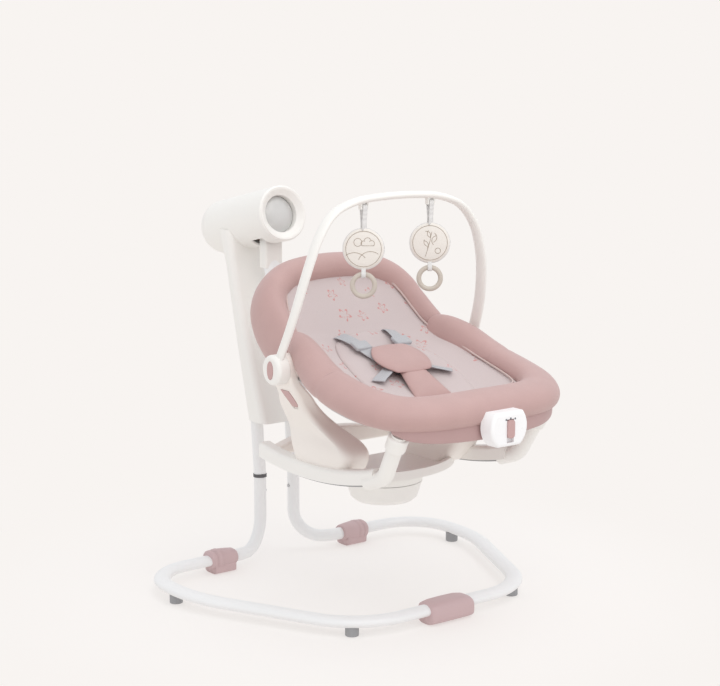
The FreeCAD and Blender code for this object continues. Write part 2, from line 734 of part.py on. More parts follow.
def waist_strap():
    """A waist strap from the seat's side to the buckle."""
    outline = [V(92, -276, 400), V(92, -252, 408), V(36, -238, 428), V(36, -262, 420)]
    return polygon(outline).extrude(V(0, -0.6, 2))


def crotch_strap():
    return band([(-262.0, 424.0), (-312.0, 404.0), (-356.0, 384.0)], 0, 46, 4)


def buckle():
    block = box(-24, 24, -262, -228, 424, 436)
    return softened(block, 4, lambda edge: True)


def buckle_cover():
    cover = box(-56, 56, -276, -206, 437, 445)
    cover = softened(cover, 12, lambda edge: runs_along(edge, Z_AXIS))
    return softened(cover, 3, lambda edge: not runs_along(edge, Z_AXIS) and edge.BoundBox.ZMin > 444)


# ---- control unit ---------------------------------------------------------
def control_unit():
    """The drop-shaped housing at the foot end, with its vibration switch."""
    top = UNIT_Z + 18
    wide = cyl(V(0, UNIT_Y[0], UNIT_Z + 2), Y_AXIS, UNIT_R, UNIT_Y[1] - UNIT_Y[0])
    body = wide.common(box(-99, 99, -999, 0, UNIT_Z - 30, top + 10))
    body = softened(body, 6, lambda edge: edge.BoundBox.YMax < UNIT_Y[0] + 0.1)
    slot = box(-KNOB_W / 2 - SLIDE, KNOB_W / 2 + SLIDE, UNIT_Y[0] - 1, UNIT_Y[0] + 7,
               UNIT_Z - KNOB_H / 2 - KNOB_TRAVEL - 1, UNIT_Z + KNOB_H / 2 + 1)
    return one(body.cut(slot))


def vibration_slider():
    knob = box(-KNOB_W / 2, KNOB_W / 2, UNIT_Y[0] - 3, UNIT_Y[0] + 6.5,
               UNIT_Z - KNOB_H / 2, UNIT_Z + KNOB_H / 2)
    return softened(knob, 6, lambda edge: runs_along(edge, Y_AXIS))


# ---- toy bar and toys -----------------------------------------------------
def hub_button(grow):
    """The oval button in the hub's outer face, or its pocket."""
    face = HUB_OUT + 0.4 + BAR_HUB_T
    depth = 6.0 + (4.0 if grow else 0.0)
    ring = oval(HUB + V(face - depth, 0, 0), X_AXIS, Z_AXIS, 32 + 2 * grow, 17 + 2 * grow)
    return Part.Face(ring).extrude(V(depth + 1, 0, 0))


def toy_bar():
    """The arch, its two hubs, their pivot pins and the lugs for the toys."""
    arch = swept(bent_wire(whole(BAR_PATH)), BAR_DEEP, BAR_THIN, Y_AXIS)
    hub = cyl(HUB + V(HUB_OUT + 0.4, 0, 0), X_AXIS, HUB_R, BAR_HUB_T)
    hub = softened(hub, 7, lambda edge: edge.BoundBox.XMin > HUB_OUT + BAR_HUB_T)
    pin = cyl(HUB + V(HUB_OUT - 13, 0, 0), X_AXIS, 8, 16)
    lugs = []
    for side in (-8.5, 5.5):
        ear = box(TOY_X + side, TOY_X + side + 3, TOY_Y - 4, TOY_Y + 4, TOY_PIN_Z - 4, TOY_PIN_Z + 12)
        lugs.append(ear)
    lugs.append(cyl(V(TOY_X - 7, TOY_Y, TOY_PIN_Z), X_AXIS, TOY_PIN_R, 14))
    side = hub.fuse([pin] + lugs)
    solid = arch.fuse([side, mirrored(side)])
    pocket = hub_button(SLIDE)
    return one(solid.cut([pocket, mirrored(pocket)]))


def toy_strap():
    """The strap from the bar's lug to the disc, and the loop that holds the ring."""
    at = V(TOY_X - 5, TOY_Y, TOY_PIN_Z)
    eye = cyl(at, X_AXIS, 4.2, 10)
    top = DISC_Z + DISC_R
    strap = box(TOY_X - 5, TOY_X + 5, TOY_Y - 1.2, TOY_Y + 1.2, top - 3, TOY_PIN_Z - 3)
    solid = eye.fuse(strap).cut(cyl(at, X_AXIS, TOY_PIN_R + RUN, 10))
    return one(solid.cut(toy_disc()))


def toy_disc():
    disc = cyl(V(TOY_X, TOY_Y - DISC_T / 2, DISC_Z), Y_AXIS, DISC_R, DISC_T)
    disc = softened(disc, 3.5, lambda edge: isinstance(edge.Curve, Part.Circle))
    top = RING_Z + RING_R
    loop = Part.makeTorus(RING_T + 2.4, 1.6, V(TOY_X, TOY_Y, top), X_AXIS)
    neck = box(TOY_X - 1.6, TOY_X + 1.6, TOY_Y - 2, TOY_Y + 2, top + RING_T + 2.4, DISC_Z - DISC_R + 2)
    return one(disc.fuse([loop, neck]))


def toy_ring():
    return Part.makeTorus(RING_R, RING_T, V(TOY_X, TOY_Y, RING_Z), Y_AXIS)


# ---- the whole swing ------------------------------------------------------
def frame_pieces():
    bar = floor_bar(0)
    front_cover, rear_cover = mast_covers()
    return {
        "floor_loop": floor_loop(),
        "lower_posts": pair(lower_post()),
        "upper_posts": pair(upper_posts()),
        "post_collars": pair(post_collar()),
        "snap_button_right": snap_button(),
        "snap_button_left": mirrored(snap_button()),
        "rubber_feet": rubber_feet(bar),
        "rear_clips": pair(rear_clip([bar, lower_post_bar(0)])),
        "front_clip": front_clip(bar),
        "mast_front_cover": front_cover,
        "mast_rear_cover": rear_cover,
        "mast_spine": mast_spine(),
        "power_socket": power_socket(),
        "pod_barrel": pod_barrel(),
        "pod_rear_cap": pod_rear_cap(),
        "bezel_ring": bezel_ring(),
        "lens_dome": lens_dome(),
        "shaft_bearings": shaft_bearings(),
        "drive_coil": drive_coil(),
        "speed_button": push_button(-PUSH_X),
        "timer_button": push_button(PUSH_X),
    }


def arm_pieces():
    block = arm_block()
    tube = one(arm_bar(0).cut([arm_bar(-ARM_WALL), block]))
    return {
        "swing_shaft": swing_shaft(),
        "arm_block": block,
        "arm_tube": tube,
        "drive_magnet": drive_magnet(),
        "bowl_hub": bowl_hub(),
        "turntable": turntable(),
    }


def rocker_pieces():
    right_runner = runner()
    runners = [right_runner, mirrored(right_runner)]
    right_leg = leg([right_runner, anti_slip_strip()])
    legs = [right_leg, mirrored(right_leg)]
    right_upright = upright(runners)
    tray = rocker_tray(runners + [right_upright, mirrored(right_upright)])
    right_tab = tab_face()
    return {
        "rocker_tray": tray,
        "runner_right": right_runner,
        "runner_left": mirrored(right_runner),
        "anti_slip_strips": pair(anti_slip_strip()),
        "rear_beam": rear_beam(),
        "upright_right": right_upright,
        "upright_left": mirrored(right_upright),
        "release_tab_right": right_tab,
        "release_tab_left": mirrored(right_tab),
        "leg_right": legs[0],
        "leg_left": legs[1],
    }


def seat_pieces(rocker):
    legs = [rocker["leg_right"], rocker["leg_left"]]
    sides = [rocker["upright_right"], rocker["upright_left"]]
    unit = control_unit()
    frame = one(seat_frame_bar(0).cut([seat_frame_bar(WALL)] + legs + sides))
    pad = seat_rim_pad(legs + sides + [unit])
    hoop = back_frame()
    back_pad = back_rim_pad(hoop)
    return {
        "seat_frame": frame,
        "seat_rim_pad": pad,
        "seat_liner": seat_liner(pad, frame, unit),
        "control_unit": unit,
        "vibration_slider": vibration_slider(),
        "waist_straps": pair(waist_strap()),
        "crotch_strap": crotch_strap(),
        "buckle": buckle(),
        "buckle_cover": buckle_cover(),
        "back_frame": hoop,
        "back_rim_pad": back_pad,
        "back_liner": back_liner(back_pad, hoop),
        "shoulder_straps": pair(shoulder_strap()),
    }


def toy_pieces():
    bar = toy_bar()
    button = hub_button(0)
    pieces = {
        "toy_bar": bar,
        "hub_button_right": button,
        "hub_button_left": mirrored(button),
    }
    for name, make in (("toy_strap", toy_strap), ("toy_disc", toy_disc), ("toy_ring", toy_ring)):
        pieces[name + "_right"] = make()
        pieces[name + "_left"] = mirrored(pieces[name + "_right"])
    return pieces


def build():
    """Every piece, moved so that the origin is under the middle of the plan."""
    pieces = frame_pieces()
    pieces.update(arm_pieces())
    pieces.update(rocker_pieces())
    pieces.update(seat_pieces(pieces))
    pieces.update(toy_pieces())
    spans = [shape.optimalBoundingBox(False, False) for shape in pieces.values()]
    front = min(span.YMin for span in spans)
    back = max(span.YMax for span in spans)
    shift = -(front + back) / 2
    print("moved along Y by %.3f" % shift)
    for shape in pieces.values():
        shape.translate(V(0, shift, 0))
    return pieces


def main():
    os.makedirs("parts", exist_ok=True)
    for name, shape in build().items():
        shape.exportStep("parts/" + name + ".step")
        print("%-20s solids %d volume %.1f valid %s" % (
            name, len(shape.Solids), shape.Volume / 1000, shape.isValid()))


main()
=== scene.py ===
# %% [markdown]
# # A baby swing with a rocker seat
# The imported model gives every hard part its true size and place. This lesson
# dresses it: moulded plastic, painted tube and leather get their finishes, and
# the padded seat, harness and toys are sewn as new pieces over the plain solids.

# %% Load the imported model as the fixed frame
import math

import bmesh
import bpy
from mathutils import Matrix, Vector


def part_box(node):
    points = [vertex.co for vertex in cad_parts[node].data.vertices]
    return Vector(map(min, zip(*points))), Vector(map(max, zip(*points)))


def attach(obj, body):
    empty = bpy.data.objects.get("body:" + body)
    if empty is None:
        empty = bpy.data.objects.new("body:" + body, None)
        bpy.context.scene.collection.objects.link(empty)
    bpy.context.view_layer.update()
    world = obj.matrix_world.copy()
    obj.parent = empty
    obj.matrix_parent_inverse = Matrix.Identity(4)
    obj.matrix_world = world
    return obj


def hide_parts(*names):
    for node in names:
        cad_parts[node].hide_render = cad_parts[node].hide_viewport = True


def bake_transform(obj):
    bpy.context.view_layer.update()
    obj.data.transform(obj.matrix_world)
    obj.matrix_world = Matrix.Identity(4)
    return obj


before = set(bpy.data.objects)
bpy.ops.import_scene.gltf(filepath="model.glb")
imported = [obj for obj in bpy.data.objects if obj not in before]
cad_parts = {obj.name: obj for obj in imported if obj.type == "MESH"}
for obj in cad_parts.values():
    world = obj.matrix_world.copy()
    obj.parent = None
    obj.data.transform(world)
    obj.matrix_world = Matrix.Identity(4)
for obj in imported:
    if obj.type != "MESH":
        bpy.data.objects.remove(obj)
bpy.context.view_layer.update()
print("CAD nodes", len(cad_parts))

# %% [markdown]
# Everything on the seat is placed from the hinge line between the two hubs, so
# one small function turns millimetres on the swing's plan into the model's
# metres. The plan counts Y from the two feet at the sides.

# %% Places on the swing
HUB_PLAN_Y = -0.170
hub_low, hub_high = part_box("hub_button_right")
PLAN_SHIFT = (hub_low.y + hub_high.y) / 2 - HUB_PLAN_Y
UP = Vector((0, 0, 1))


def at(x, y, z):
    """A point in metres from millimetres on the swing's plan."""
    return Vector((x / 1000, y / 1000 + PLAN_SHIFT, z / 1000))


print("plan shift %.4f m" % PLAN_SHIFT)

# %% [markdown]
# ## Finishes
# A finish starts as numbers on the Principled shader and gains detail from
# noise and cells read in object space. Writing that as sums keeps it readable:
# `Field` wraps one output socket, and Python's own operators add the Math nodes.


# %% A field of values, and a finish
class Field:
    """A value that changes over a surface; arithmetic on it adds nodes."""

    def __init__(self, finish, socket):
        self.finish, self.socket = finish, socket

    def math(self, operation, a, b=0.0):
        return self.finish.node("ShaderNodeMath", {"operation": operation}, {0: a, 1: b})

    def __add__(self, other):
        return self.math("ADD", self, other)

    def __sub__(self, other):
        return self.math("SUBTRACT", self, other)

    def __rsub__(self, other):
        return self.math("SUBTRACT", other, self)

    def __mul__(self, other):
        return self.math("MULTIPLY", self, other)

    def __truediv__(self, other):
        return self.math("DIVIDE", self, other)

    def __lt__(self, other):
        return self.math("LESS_THAN", self, other)

    def __gt__(self, other):
        return self.math("GREATER_THAN", self, other)

    __radd__ = __add__
    __rmul__ = __mul__


def linear(red, green, blue):
    """A colour written as on a paint card, made linear for the shader."""
    parts = [c / 255 for c in (red, green, blue)]
    return tuple(c / 12.92 if c <= 0.04045 else ((c + 0.055) / 1.055) ** 2.4 for c in parts) + (1.0,)


class Finish:
    """A material with one Principled shader."""

    def __init__(self, name, colour, roughness, metallic=0.0, **constants):
        self.name = name
        self.material = bpy.data.materials.new(name)
        self.material.use_nodes = True
        self.tree = self.material.node_tree
        self.shader = next(n for n in self.tree.nodes if n.type == "BSDF_PRINCIPLED")
        self.colour = linear(*colour)
        self.roughness = roughness
        self.shader.inputs["Base Color"].default_value = self.colour
        self.shader.inputs["Roughness"].default_value = roughness
        self.shader.inputs["Metallic"].default_value = metallic
        for socket, value in constants.items():
            self.shader.inputs[socket.replace("_", " ")].default_value = value
        self.material.diffuse_color = self.colour

    def node(self, kind, settings=None, sockets=None, output=0):
        """Any node: its settings first, then the values or links of its sockets."""
        made = self.tree.nodes.new(kind)
        for key, value in (settings or {}).items():
            setattr(made, key, value)
        for key, value in (sockets or {}).items():
            if isinstance(value, Field):
                self.tree.links.new(value.socket, made.inputs[key])
            else:
                made.inputs[key].default_value = value
        return Field(self, made.outputs[output])

    def feed(self, socket, field):
        self.tree.links.new(field.socket, self.shader.inputs[socket])

    def place(self, source="Object"):
        return self.node("ShaderNodeTexCoord", output=source)

    def noise(self, scale, detail=2.0, where=None):
        where = where or self.place()
        return self.node("ShaderNodeTexNoise", sockets={"Vector": where, "Scale": scale, "Detail": detail})

    def cells(self, scale, where=None):
        where = where or self.place()
        return self.node("ShaderNodeTexVoronoi", sockets={"Vector": where, "Scale": scale})

    def blend(self, mask, plain, other):
        """One colour over another by a mask."""
        made = self.node("ShaderNodeMix", {"data_type": "RGBA"}, {0: mask}, output=2)
        for socket, value in ((6, plain), (7, other)):
            target = made.socket.node.inputs[socket]
            if isinstance(value, Field):
                self.tree.links.new(value.socket, target)
            else:
                target.default_value = value
        return made

    def relief(self, height, distance, strength=1.0):
        """Bumps that the light sees and the mesh doesn't have."""
        bump = self.node("ShaderNodeBump", sockets={"Height": height, "Distance": distance, "Strength": strength})
        self.feed("Normal", bump)


print("finish helper ready")

# %% [markdown]
# ### Moulded plastic and painted tube
# A moulded cover has a fine spark-eroded texture and drifts a little in tone
# where the plastic flowed. Powder paint on tube is glossier, with the slow
# ripple called orange peel. Both are one recipe with different numbers.


# %% Plastic and paint
def moulded(name, colour, roughness, grain=1400.0, depth=0.00006, drift=0.04, **constants):
    finish = Finish(name, colour, roughness, **constants)
    darker = tuple(c * (1 - drift) for c in finish.colour[:3]) + (1.0,)
    cloud = finish.noise(9.0, 3.0)
    finish.feed("Base Color", finish.blend(cloud, darker, finish.colour))
    finish.feed("Roughness", finish.noise(60.0) * 0.12 + (roughness - 0.06))
    finish.relief(finish.noise(grain, 1.0), depth)
    return finish


paint = moulded("frame_paint", (240, 240, 240), 0.34, grain=260.0, depth=0.00005, drift=0.02)
shell = moulded("white_plastic", (245, 243, 239), 0.42)
warm = moulded("warm_white", (246, 240, 234), 0.46)
bright = moulded("bright_white", (250, 250, 251), 0.3, depth=0.00003, drift=0.01)
pink_plastic = moulded("pink_plastic", (200, 164, 162), 0.44)
clip_pink = moulded("clip_pink", (203, 176, 177), 0.5)
rubber = moulded("dark_rubber", (158, 158, 160), 0.8, grain=700.0, depth=0.0001)
collar = moulded("grey_ring", (92, 90, 92), 0.5)
toy_ring_finish = moulded("toy_ring", (208, 199, 188), 0.6, grain=300.0, drift=0.12)
magnet = moulded("magnet", (150, 150, 155), 0.35, metallic=0.9)
copper = moulded("coil", (184, 115, 70), 0.35, metallic=0.8)
mark_grey = moulded("mark_grey", (120, 122, 128), 0.6)

# %% [markdown]
# ### Brushed steel, and the clear dome
# Steel shows scratches along one way, so its noise is stretched with a Mapping
# node. The dome is clear, so light passes through it.

# %% Steel and the dome
steel = Finish("steel", (196, 196, 198), 0.3, metallic=1.0)
stretched = steel.node("ShaderNodeMapping", sockets={"Vector": steel.place(), "Scale": (1.0, 1.0, 40.0)})
scratches = steel.noise(90.0, 4.0, stretched)
steel.feed("Roughness", scratches * 0.2 + 0.2)
steel.relief(scratches, 0.00004)

clear = Finish("clear", (247, 247, 246), 0.12, Transmission_Weight=0.4, IOR=1.45)
clear.feed("Roughness", clear.noise(40.0) * 0.05 + 0.05)

# %% [markdown]
# ### Soft leather
# Coated cloth with a leather grain: round pebbles from Voronoi cells and slow
# creases from noise. The colour is darker along the crease noise, and painted
# shade darkens the hollows between the pebbles.


# %% Leather
def leather(name, colour, roughness=0.5):
    finish = Finish(name, colour, roughness, Sheen_Weight=0.15)
    pebbles = finish.cells(650.0)
    creases = finish.noise(26.0, 3.0)
    shade = tuple(c * 0.86 for c in finish.colour[:3]) + (1.0,)
    # Painted shade in the hollows between the pebbles; the crease noise darkens the tone as well.
    finish.feed("Base Color", finish.blend(creases * 0.7 + pebbles * 0.25, finish.colour, shade))
    finish.feed("Roughness", creases * 0.14 + (roughness - 0.07))
    finish.relief(creases * 1.6 - pebbles * 0.35, 0.0006)
    return finish


pink_leather = leather("pink_leather", (199, 164, 160))
# A darker copy of the same pink leather, painted shade for the seam cords, the liner's underside and the valance
# under the rim.
pink_leather_shaded = leather("pink_leather_painted_shade", (191, 157, 155))
piping_finish = leather("piping", (214, 192, 187), 0.55)

# %% [markdown]
# ### Printed knit
# The liner is a fine heathered knit with loose five-point stars, drawn as
# broken outlines. Each Voronoi cell holds one star: from the cell's own centre
# come an angle and a distance, and a cosine of five times the angle gives the
# star its points. The seat's own map measures metres along the cloth.

# %% Knit
knit = Finish("liner_knit", (214, 200, 199), 0.9, Sheen_Weight=0.25)
cloth = knit.place("UV")
heather = knit.noise(420.0, 3.0, cloth)
loops = knit.node("ShaderNodeTexWave", {"bands_direction": "DIAGONAL"},
                  {"Vector": cloth, "Scale": 220.0, "Distortion": 1.5, "Detail": 1.0})
STAR_SCALE = 15.0
star_cell = knit.node("ShaderNodeTexVoronoi", {"voronoi_dimensions": "2D"},
                      {"Vector": cloth, "Scale": STAR_SCALE, "Randomness": 0.75}, output="Position")
offset = knit.node("ShaderNodeVectorMath", {"operation": "SUBTRACT"}, {0: cloth, 1: star_cell})
star_x = knit.node("ShaderNodeSeparateXYZ", sockets={0: offset}, output="X")
star_y = knit.node("ShaderNodeSeparateXYZ", sockets={0: offset}, output="Y")
star_turn = knit.node("ShaderNodeTexVoronoi", {"voronoi_dimensions": "2D"},
                      {"Vector": cloth, "Scale": STAR_SCALE, "Randomness": 0.75}, output="Color")
pick = knit.node("ShaderNodeSeparateColor", sockets={0: star_turn}, output=0)
angle = star_x.math("ARCTAN2", star_y, star_x) + pick * 6.0
reach = star_x.math("SQRT", star_x * star_x + star_y * star_y)
point = angle.math("COSINE", angle * 5.0) * 0.30 + 0.70
inside = reach / (point * (pick * 0.009 + 0.010))
outline = (inside < 1.0) * (inside > 0.70)
broken = knit.noise(90.0, 1.0, cloth) > 0.42
stars = outline * broken * (pick > 0.22)
confetti = (knit.cells(46.0, cloth) < 0.05) * 0.55
heather_shade = tuple(c * 0.88 for c in knit.colour[:3]) + (1.0,)
ground = knit.blend(heather, knit.colour, heather_shade)
printed = knit.blend(confetti, ground, linear(186, 184, 188))
knit.feed("Base Color", knit.blend(stars * 0.85, printed, linear(208, 142, 138)))
knit.relief(loops * 0.6 + heather * 0.4, 0.0003)

# %% [markdown]
# ### Webbing, plush and thread
# Webbing has ribs across the strap, plush is a short fluffy pile, and the
# embroidery thread is a twisted yarn.


# %% Woven finishes
def woven(name, colour, scale, depth, roughness=0.85):
    finish = Finish(name, colour, roughness, Sheen_Weight=0.2)
    across = finish.node("ShaderNodeTexWave", {"bands_direction": "Y"},
                         {"Vector": finish.place(), "Scale": scale, "Distortion": 0.6})
    down = finish.node("ShaderNodeTexWave", {"bands_direction": "X"},
                       {"Vector": finish.place(), "Scale": scale, "Distortion": 0.6})
    weave = across * 0.5 + down * 0.5
    shade = tuple(c * 0.8 for c in finish.colour[:3]) + (1.0,)
    # Painted shade: the low parts of the weave, its grooves, are darker.
    finish.feed("Base Color", finish.blend(weave, shade, finish.colour))
    finish.relief(weave, depth)
    return finish


webbing = woven("webbing", (202, 203, 207), 330.0, 0.0003)
thread = woven("thread", (176, 160, 142), 900.0, 0.0001)
ribbon = woven("ribbon", (240, 239, 238), 420.0, 0.0002)
plush = Finish("toy_cloth", (246, 242, 237), 0.95, Sheen_Weight=0.4)
pile = plush.noise(900.0, 4.0)
# Painted shade: the low spots of the pile are darker and warmer.
plush.feed("Base Color", plush.blend(pile, linear(232, 226, 218), plush.colour))
plush.relief(pile, 0.0006)

# %% [markdown]
# ## Dressing the hard parts
# The moulded and steel nodes keep their shape and only change finish. Their
# material slots are filled in place, and nothing in their meshes is touched.

# %% Finishes on the CAD nodes
NODE_FINISHES = {
    paint: ["floor_loop", "lower_posts", "upper_posts", "arm_tube"],
    shell: ["mast_front_cover", "mast_rear_cover", "pod_barrel", "pod_rear_cap", "bezel_ring", "arm_block",
            "bowl_hub", "turntable", "rocker_tray", "runner_left", "runner_right", "leg_left", "leg_right",
            "toy_bar"],
    warm: ["upright_left", "upright_right", "rear_beam"],
    bright: ["control_unit"],
    pink_plastic: ["hub_button_left", "hub_button_right", "release_tab_left", "release_tab_right",
                   "vibration_slider", "speed_button", "timer_button"],
    clip_pink: ["rear_clips", "front_clip"],
    steel: ["snap_button_left", "snap_button_right", "mast_spine", "shaft_bearings", "swing_shaft",
            "seat_frame", "back_frame"],
    rubber: ["rubber_feet", "anti_slip_strips"],
    collar: ["post_collars", "buckle", "power_socket"],
    toy_ring_finish: ["toy_ring_left", "toy_ring_right"],
    clear: ["lens_dome"],
    magnet: ["drive_magnet"],
    copper: ["drive_coil"],
}
for finish, names in NODE_FINISHES.items():
    for name in names:
        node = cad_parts[name]
        if not node.material_slots:
            node.data.materials.append(finish.material)
        for slot in node.material_slots:
            slot.material = finish.material
print("finishes on", sum(len(names) for names in NODE_FINISHES.values()), "nodes")

# %% [markdown]
# ## Sewing tools
# Padded tubes, straps, piping and thread are all a row of oval rings joined
# into a skin. `create_circle` makes each ring and `bridge_loops` joins two, and
# a smooth curve through a few measured rows says where the rings stand.


# %% Curves and rings
def through(rows, steps):
    """Rows of numbers on a smooth curve through the given rows."""
    ends = [rows[0]] + list(rows) + [rows[-1]]
    found = []
    for i in range(1, len(ends) - 2):
        for k in range(steps):
            t = k / steps
            found.append(tuple(
                b + 0.5 * t * (c - a + t * (2 * a - 5 * b + 4 * c - d + t * (3 * (b - c) + d - a)))
                for a, b, c, d in zip(*ends[i - 1:i + 3])))
    return found + [tuple(rows[-1])]


def both_sides(rows):
    """A half path that ends on the middle, carried over to the other side."""
    return list(rows) + [(-row[0],) + tuple(row[1:]) for row in reversed(rows[:-1])]


def stations(rows, up):
    """Rows of x, y, z, half width, half height as (centre, side, up) vectors."""
    centres = [at(*row[:3]) for row in rows]
    found = []
    for i, row in enumerate(rows):
        before, after = centres[max(i - 1, 0)], centres[min(i + 1, len(rows) - 1)]
        along = (after - before).normalized()
        high = up(i) if callable(up) else Vector(up)
        high = (high - along * along.dot(high)).normalized()
        found.append((centres[i], along.cross(high) * row[3] / 1000, high * row[4] / 1000))
    return found


def ring(bm, centre, side, up, segments, squareness):
    """One closed loop of edges, oval or squarer."""
    made = bmesh.ops.create_circle(bm, segments=segments, radius=1.0)["verts"]
    for v in made:
        v.co.x = math.copysign(abs(v.co.x) ** squareness, v.co.x)
        v.co.y = math.copysign(abs(v.co.y) ** squareness, v.co.y)
    turn = Matrix((side, up, side.cross(up).normalized())).transposed().to_4x4()
    bmesh.ops.transform(bm, matrix=Matrix.Translation(centre) @ turn, verts=made)
    return list({edge for v in made for edge in v.link_edges})


def skin(bm, places, segments=20, squareness=1.0, dome=0.0):
    """Joins rings into a closed skin, with domed ends if asked."""
    places = list(places)
    if dome:
        for end, inner in ((0, 1), (-1, -2)):
            centre, side, up = places[end]
            away = (centre - places[inner][0]).normalized()
            caps = [(centre + away * dome * math.sin(math.radians(a)), side * math.cos(math.radians(a)),
                     up * math.cos(math.radians(a))) for a in (30, 55, 75, 86)]
            places = list(reversed(caps)) + places if end == 0 else places + caps
    loops = [ring(bm, *place, segments, squareness) for place in places]
    for one, other in zip(loops, loops[1:]):
        bmesh.ops.bridge_loops(bm, edges=one + other)
    for loop in (loops[0], loops[-1]):
        bmesh.ops.contextual_create(bm, geom=loop)


def piece(name, bm, finish, body=None, replaces=(), smooth=0):
    """A finished mesh as an object that rides on a body."""
    bmesh.ops.recalc_face_normals(bm, faces=bm.faces)
    mesh = bpy.data.meshes.new(name)
    bm.to_mesh(mesh)
    bm.free()
    mesh.materials.append(finish.material)
    mesh.polygons.foreach_set("use_smooth", [True] * len(mesh.polygons))
    obj = bpy.data.objects.new(name, mesh)
    bpy.context.scene.collection.objects.link(obj)
    if smooth:
        rounding = obj.modifiers.new("rounding", "SUBSURF")
        rounding.levels = rounding.render_levels = smooth
    if body:
        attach(obj, body)
    if replaces:
        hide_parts(*replaces)
    print(name, len(mesh.polygons), "faces")
    return obj


# %% [markdown]
# ## The seat's padded rim
# Foam is wrapped round the steel frame and sewn into a leather tube, fat at
# the sides and a little flatter at the foot. Two seams cross it behind the
# knees, where the cover's halves meet: the ring there is drawn in to make the
# pinch of a seam, and a thin cord runs round it. The rows run from a hub to the foot.

# %% Seat rim
SEAT_RIM = [(158, -146, 474, 20, 28), (166, -172, 470, 26, 31), (178, -212, 458, 30, 31),
            (188, -254, 441, 33, 28), (192, -296, 428, 35, 26), (191, -345, 417, 36, 26),
            (181, -396, 407, 37, 26), (150, -437, 400, 38, 26), (96, -459, 399, 39, 26), (0, -466, 400, 39, 26)]
SEAM_PINCH = 0.94
RIM_STEPS = 6


def tilted(lean):
    """The section's up direction, leaned so that a pad's inner side is higher."""
    def up(i):
        centre = rim_rows[i]
        outward = Vector((centre[0], min(centre[1] + 300, 0), 0)).normalized()
        return UP + outward * lean
    return up


rim_rows = through(both_sides(SEAT_RIM), RIM_STEPS)
crossing = min(range(len(rim_rows)), key=lambda i: abs(rim_rows[i][1] + 290) + (rim_rows[i][0] < 0) * 999)
for seam in (crossing, len(rim_rows) - 1 - crossing):
    row = rim_rows[seam]
    rim_rows[seam] = row[:3] + (row[3] * SEAM_PINCH, row[4] * SEAM_PINCH)
bm = bmesh.new()
skin(bm, stations(rim_rows, tilted(0.34)), segments=24, squareness=0.93, dome=0.018)
seat_rim = piece("seat_rim_cover", bm, pink_leather, "rocker", ["seat_rim_pad"], smooth=1)

bm = bmesh.new()
rim_sections = stations(rim_rows, tilted(0.34))
for seam in (crossing, len(rim_rows) - 1 - crossing):
    centre, side, up = rim_sections[seam]
    along = side.cross(up).normalized() * 0.0011
    seam_line = []
    for k in range(49):
        turn = math.tau * k / 48
        outward = side * math.cos(turn) + up * math.sin(turn)
        seam_line.append((centre + outward * 0.985, outward.normalized() * 0.0011, along))
    skin(bm, seam_line, segments=8)
# The seam cords take the darker copy of the leather, painted shade in the pinch of each seam.
piece("seat_rim_seams", bm, pink_leather_shaded, "rocker")

# %% [markdown]
# ## The head rim
# Behind the head the pad is deep from front to back, like the wing of a
# chair, and slimmer over the top. Its section stands square to the backrest,
# so its up direction is the backrest's own face.

# %% Head rim
BACK_FACE = Vector((0, -0.77, 0.64))
HEAD_RIM = [(170, -150, 452, 19, 30), (168, -122, 465, 23, 42), (163, -90, 484, 26, 47),
            (158, -62, 508, 27, 47), (149, -42, 535, 28, 44), (126, -29, 561, 28, 38),
            (82, -20, 580, 27, 33), (0, -17, 587, 27, 31)]
head_rows = through(both_sides(HEAD_RIM), RIM_STEPS)
bm = bmesh.new()
skin(bm, stations(head_rows, BACK_FACE), segments=24, squareness=0.93, dome=0.016)
head_rim = piece("head_rim_cover", bm, pink_leather, "backrest", ["back_rim_pad"], smooth=1)

# %% [markdown]
# ## The liner
# One quilted panel hangs between the rims: high at the head, deep under the
# seat and up again to the foot. Each row gives the panel's edge and its middle,
# and a power curve lets the cloth sag between them. A grid is laid over those
# rows, and its own map keeps real distances for the print.

# %% Liner
LINER_ROWS = [
    (62, -34, 580, -32, 580), (116, -48, 563, -54, 558), (136, -70, 538, -80, 529), (145, -96, 510, -107, 500),
    (149, -128, 486, -136, 470), (153, -166, 471, -172, 448), (158, -210, 459, -215, 430),
    (162, -254, 443, -257, 411), (163, -300, 430, -300, 394), (159, -345, 420, -343, 381),
    (142, -386, 414, -382, 384), (106, -414, 414, -411, 400), (62, -432, 415, -430, 415)]
LINER_LENGTH = 0.56
SAG = 2.3


def liner_point(u, v, lift=0.0):
    """A point on the liner: u from head to foot, v from side to side."""
    spot = min(max(u, 0.0), 1.0) * (len(LINER_ROWS) - 1)
    i = min(int(spot), len(LINER_ROWS) - 2)
    t = spot - i
    ends = [LINER_ROWS[0]] + LINER_ROWS + [LINER_ROWS[-1]]
    x, ey, ez, cy, cz = (
        b + 0.5 * t * (c - a + t * (2 * a - 5 * b + 4 * c - d + t * (3 * (b - c) + d - a)))
        for a, b, c, d in zip(*ends[i:i + 4]))
    share = abs(v) ** SAG
    y, z = cy + (ey - cy) * share, cz + (ez - cz) * share
    facing = Vector((0, -0.77, 0.64)).lerp(Vector((0, -0.1, 1)), min(max((u - 0.35) * 4, 0), 1)).normalized()
    return at(x * v, y, z) + facing * lift


def panel(columns, rows, shape, uv_size):
    """A grid moved onto a surface, with a map that keeps real distances."""
    bm = bmesh.new()
    bmesh.ops.create_grid(bm, x_segments=columns, y_segments=rows, size=1.0)
    layer = bm.loops.layers.uv.new("UVMap")
    for face in bm.faces:
        for loop in face.loops:
            loop[layer].uv = (loop.vert.co.x * uv_size[0] / 2, loop.vert.co.y * uv_size[1] / 2)
    for v in bm.verts:
        v.co = shape(v.co.x, v.co.y)
    return bm


